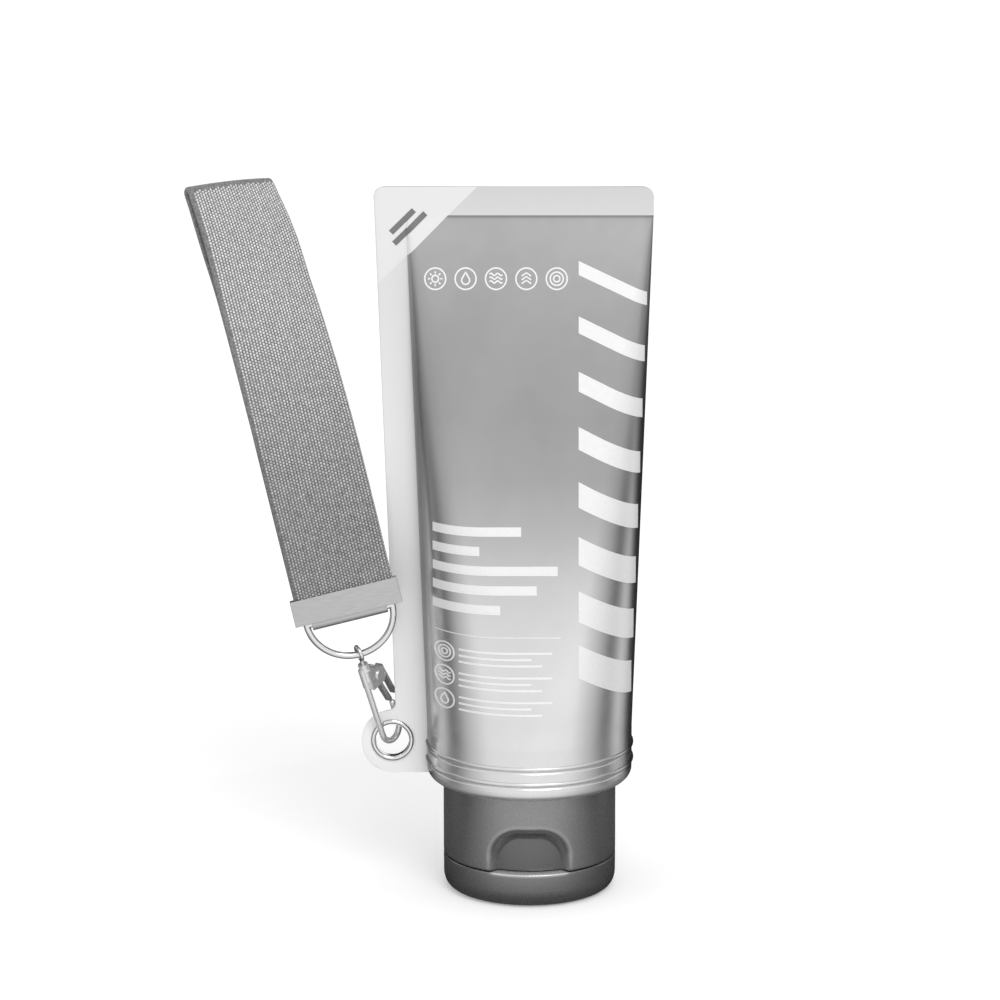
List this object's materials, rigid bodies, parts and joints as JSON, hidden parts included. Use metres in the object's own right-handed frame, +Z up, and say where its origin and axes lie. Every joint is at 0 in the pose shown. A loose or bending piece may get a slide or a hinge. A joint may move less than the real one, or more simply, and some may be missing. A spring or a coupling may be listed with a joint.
{
  "type": "squeeze tube with a clip-on wrist strap",
  "caption": "Flexible lotion tube with a crimped seal, a side fin and a flip-top cap, and a swivel clasp that carries a D-ring and a webbing wrist loop.",
  "frame": {"origin": "middle of the cap's foot, on the surface that the tube stands on", "axes": "+Z up towards the seal, -Y to the printed front, +X to the right of the front; the fin and the strap are on -X"},
  "size_m": [0.0906, 0.045, 0.1393],
  "materials": {
    "film": "satin printed film",
    "head": "moulded",
    "lotion": "cream",
    "cap": "semi-gloss moulded",
    "bright_metal": "polished",
    "spring_steel": "drawn wire",
    "satin_metal": "satin",
    "webbing": "woven"
  },
  "bodies": {
    "tube": {"tube_sleeve": "film", "shoulder": "head", "lotion_fill": "lotion", "cap_body": "cap", "eyelet": "bright_metal", "eyelet_washer": "bright_metal"},
    "lid": {"cap_lid": "cap", "living_hinge": "cap"},
    "clasp": {"clasp_body": "bright_metal", "gate_rivet": "bright_metal", "gate_spring": "spring_steel"},
    "gate": {"clasp_gate": "bright_metal"},
    "swivel": {"swivel_eye": "bright_metal"},
    "ring": {"d_ring": "bright_metal"},
    "strap": {"strap_ferrule": "satin_metal", "webbing_strap": "webbing"}
  },
  "joints": [
    {"name": "lid_hinge", "type": "hinge", "parent": "tube", "child": "lid", "pos_m": [0, 0.01725, 0.007], "axis": [1, 0, 0], "range_deg": [0, 150]},
    {"name": "clasp_swing", "type": "hinge", "parent": "tube", "child": "clasp", "pos_m": [-0.0268, 0, 0.0294], "axis": [0, -1, 0], "range_deg": [0, 150]},
    {"name": "gate_pivot", "type": "hinge", "parent": "clasp", "child": "gate", "pos_m": [-0.03021, -0.00267, 0.04343], "axis": [-0.7842, 0.6194, -0.0364], "range_deg": [0, 18], "stiffness_Nm_per_rad": 0.004, "springref_deg": -11.46},
    {"name": "swivel_spin", "type": "hinge", "parent": "clasp", "child": "swivel", "pos_m": [-0.03295, -0.00585, 0.04833], "axis": [-0.2543, -0.2672, 0.9295], "range_deg": [0, 180]},
    {"name": "eye_swing", "type": "hinge", "parent": "swivel", "child": "ring", "pos_m": [-0.03295, -0.00585, 0.04833], "axis": [0.971, 0.0691, 0.2288], "range_deg": [0, 60]},
    {"name": "ferrule_swing", "type": "hinge", "parent": "ring", "child": "strap", "pos_m": [-0.0348, -0.00703, 0.05654], "axis": [0.971, 0.0691, 0.2288], "range_deg": [-10, 48]}
  ]
}
